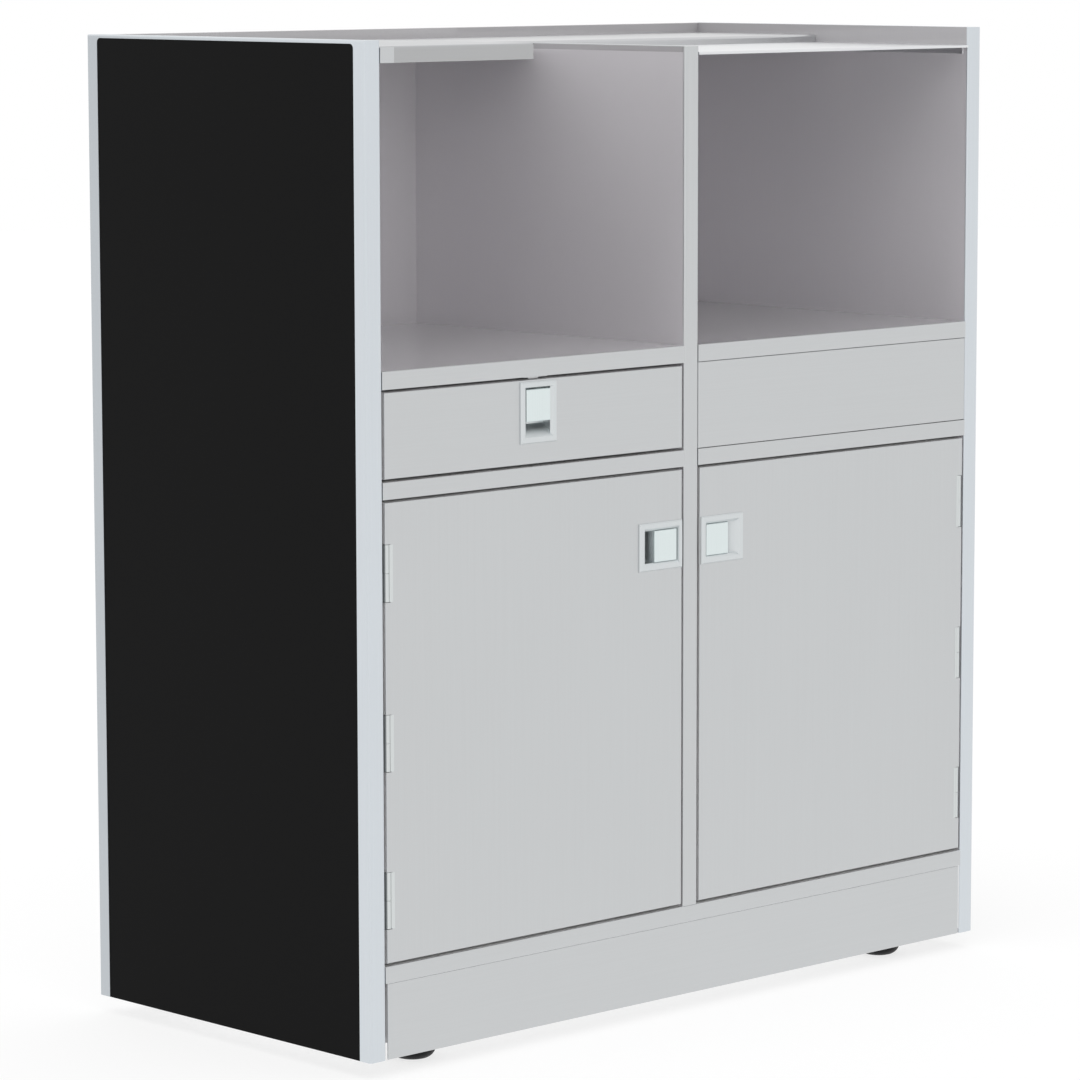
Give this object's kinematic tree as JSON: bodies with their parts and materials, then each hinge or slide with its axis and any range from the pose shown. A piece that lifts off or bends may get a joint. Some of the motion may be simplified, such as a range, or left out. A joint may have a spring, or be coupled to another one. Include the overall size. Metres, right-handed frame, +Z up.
{
  "type": "waiter service station",
  "caption": "Free-standing restaurant service station: two open bays over a latched drawer, a fixed panel and hinged doors, with black side boards, a stepped top and levelling feet.",
  "frame": {"origin": "bottom centre of the bounding box, on the floor", "axes": "+Z up, +X to the right seen from the front, +Y towards the back; the doors face -Y"},
  "size_m": [0.955, 0.4576, 1.086],
  "materials": {
    "frame_steel": "satin, pale cool grey",
    "satin_steel": "even satin",
    "bright_steel": "bright, near mirror",
    "galvanised_steel": "dull zinc",
    "hinge_steel": "satin",
    "latch_metal": "satin, very pale",
    "black_laminate": "matte laminate on board",
    "foot_steel": "black powder coat on steel"
  },
  "bodies": {
    "carcass": {"left_side_frame": "frame_steel", "right_side_frame": "frame_steel", "left_side_board": "black_laminate", "right_side_board": "black_laminate", "rear_liner": "bright_steel", "back_panel": "satin_steel", "divider": "frame_steel", "left_bay_floor": "satin_steel", "right_bay_floor": "satin_steel", "left_mid_rail": "satin_steel", "right_mid_rail": "satin_steel", "blank_panel": "satin_steel", "cabinet_floor": "satin_steel", "kick_plate": "satin_steel", "kick_brackets": "galvanised_steel", "front_base_channel": "galvanised_steel", "rear_base_channel": "galvanised_steel", "foot_nuts": "galvanised_steel", "rear_deck": "bright_steel", "front_deck": "satin_steel", "left_ledge": "satin_steel", "ledge_bracket": "satin_steel", "door_stops": "galvanised_steel", "hinge_frame_leaves": "hinge_steel", "hinge_pins": "hinge_steel", "strike_plates": "hinge_steel", "slide_outer_members": "galvanised_steel", "left_shelf": "satin_steel", "right_shelf": "satin_steel", "shelf_clips": "galvanised_steel"},
    "left_door": {"left_door_skin": "satin_steel", "left_door_inner": "satin_steel", "left_hinge_door_leaves": "hinge_steel", "left_latch_housing": "latch_metal", "left_latch_pin": "hinge_steel", "left_latch_spring": "hinge_steel"},
    "left_door_flap": {"left_latch_flap": "latch_metal"},
    "left_door_bolt": {"left_latch_bolt": "hinge_steel"},
    "right_door": {"right_door_skin": "satin_steel", "right_door_inner": "satin_steel", "right_hinge_door_leaves": "hinge_steel", "right_latch_housing": "latch_metal", "right_latch_pin": "hinge_steel", "right_latch_spring": "hinge_steel"},
    "right_door_flap": {"right_latch_flap": "latch_metal"},
    "right_door_bolt": {"right_latch_bolt": "hinge_steel"},
    "drawer": {"drawer_front": "satin_steel", "drawer_box": "galvanised_steel", "slide_inner_members": "galvanised_steel", "drawer_latch_housing": "latch_metal", "drawer_latch_pin": "hinge_steel", "drawer_latch_spring": "hinge_steel"},
    "drawer_flap": {"drawer_latch_flap": "latch_metal"},
    "drawer_bolt": {"drawer_latch_bolt": "hinge_steel"},
    "slide_middle": {"slide_middle_members": "galvanised_steel"},
    "front_left_foot": {"front_left_foot": "foot_steel"},
    "rear_left_foot": {"rear_left_foot": "foot_steel"},
    "front_right_foot": {"front_right_foot": "foot_steel"},
    "rear_right_foot": {"rear_right_foot": "foot_steel"}
  },
  "joints": [
    {"name": "left_door_swing", "type": "hinge", "parent": "carcass", "child": "left_door", "pos_m": [-0.4489, -0.22175, 0.365], "axis": [0, 0, -1], "range_deg": [0, 110]},
    {"name": "right_door_swing", "type": "hinge", "parent": "carcass", "child": "right_door", "pos_m": [0.4489, -0.22175, 0.365], "axis": [0, 0, 1], "range_deg": [0, 110]},
    {"name": "drawer_travel", "type": "slide", "parent": "carcass", "child": "drawer", "axis": [0, -1, 0], "range_m": [0, 0.35]},
    {"name": "slide_middle_travel", "type": "slide", "parent": "carcass", "child": "slide_middle", "axis": [0, -1, 0], "range_m": [0, 0.175]},
    {"name": "left_door_flap_tilt", "type": "hinge", "parent": "left_door", "child": "left_door_flap", "pos_m": [-0.025, -0.22425, 0.5275], "axis": [0, 0, 1], "range_deg": [0, 25], "stiffness_Nm_per_rad": 0.3, "springref_deg": -11.46},
    {"name": "left_door_bolt_travel", "type": "slide", "parent": "left_door", "child": "left_door_bolt", "axis": [-1, 0, 0], "range_m": [0, 0.0038], "deforming": ["left_latch_spring"]},
    {"name": "right_door_flap_tilt", "type": "hinge", "parent": "right_door", "child": "right_door_flap", "pos_m": [0.025, -0.22425, 0.5275], "axis": [0, 0, -1], "range_deg": [0, 25], "stiffness_Nm_per_rad": 0.3, "springref_deg": -11.46},
    {"name": "right_door_bolt_travel", "type": "slide", "parent": "right_door", "child": "right_door_bolt", "axis": [1, 0, 0], "range_m": [0, 0.0038], "deforming": ["right_latch_spring"]},
    {"name": "drawer_flap_tilt", "type": "hinge", "parent": "drawer", "child": "drawer_flap", "pos_m": [-0.23325, -0.22425, 0.7116], "axis": [-1, 0, 0], "range_deg": [0, 25], "stiffness_Nm_per_rad": 0.3, "springref_deg": -11.46},
    {"name": "drawer_bolt_travel", "type": "slide", "parent": "drawer", "child": "drawer_bolt", "axis": [0, 0, -1], "range_m": [0, 0.0038], "deforming": ["drawer_latch_spring"]},
    {"name": "front_left_foot_screw", "type": "slide", "parent": "carcass", "child": "front_left_foot", "axis": [0, 0, -1], "range_m": [0, 0.015]},
    {"name": "rear_left_foot_screw", "type": "slide", "parent": "carcass", "child": "rear_left_foot", "axis": [0, 0, -1], "range_m": [0, 0.015]},
    {"name": "front_right_foot_screw", "type": "slide", "parent": "carcass", "child": "front_right_foot", "axis": [0, 0, -1], "range_m": [0, 0.015]},
    {"name": "rear_right_foot_screw", "type": "slide", "parent": "carcass", "child": "rear_right_foot", "axis": [0, 0, -1], "range_m": [0, 0.015]}
  ],
  "couplings": [
    {"joint": "slide_middle_travel", "follows": "drawer_travel", "ratio": 0.5},
    {"joint": "left_door_bolt_travel", "follows": "left_door_flap_tilt", "m_per_rad": 0.00866},
    {"joint": "right_door_bolt_travel", "follows": "right_door_flap_tilt", "m_per_rad": 0.00866},
    {"joint": "drawer_bolt_travel", "follows": "drawer_flap_tilt", "m_per_rad": 0.00866}
  ]
}
